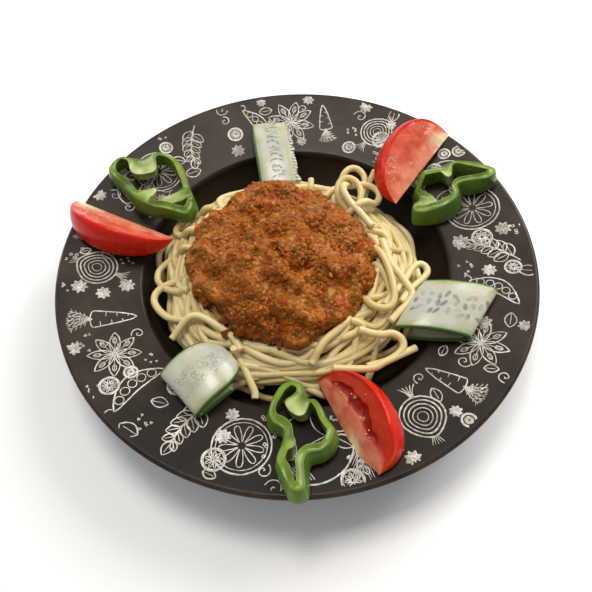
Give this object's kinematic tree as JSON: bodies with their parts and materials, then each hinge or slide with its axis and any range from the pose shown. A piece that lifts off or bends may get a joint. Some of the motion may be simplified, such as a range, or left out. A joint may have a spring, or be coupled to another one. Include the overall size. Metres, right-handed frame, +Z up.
{
  "type": "spaghetti bolognese",
  "caption": "Spaghetti bolognese in a dark wide-rimmed pasta plate: a nest of spaghetti under minced meat sauce, with tomato wedges, green pepper rings and folded cucumber slices on the rim.",
  "frame": {"origin": "centre of the plate's flat foot, on the surface that it stands on", "axes": "+Z up along the plate's axis; -Y towards the side it is eaten from, with a pepper ring and a tomato wedge there"},
  "size_m": [0.261, 0.264, 0.062],
  "materials": {
    "slate_glaze": "satin",
    "pasta": "satin",
    "bolognese": "moist",
    "tomato": "gloss",
    "green_pepper": "gloss",
    "cucumber": "moist"
  },
  "bodies": {
    "root": {"plate": "slate_glaze", "spaghetti": "pasta", "sauce": "bolognese", "tomato_left": "tomato", "tomato_upper_right": "tomato", "tomato_bottom_right": "tomato", "pepper_upper_left": "green_pepper", "pepper_right": "green_pepper", "pepper_bottom": "green_pepper", "cucumber_top": "cucumber", "cucumber_right": "cucumber", "cucumber_bottom_left": "cucumber"}
  },
  "joints": []
}
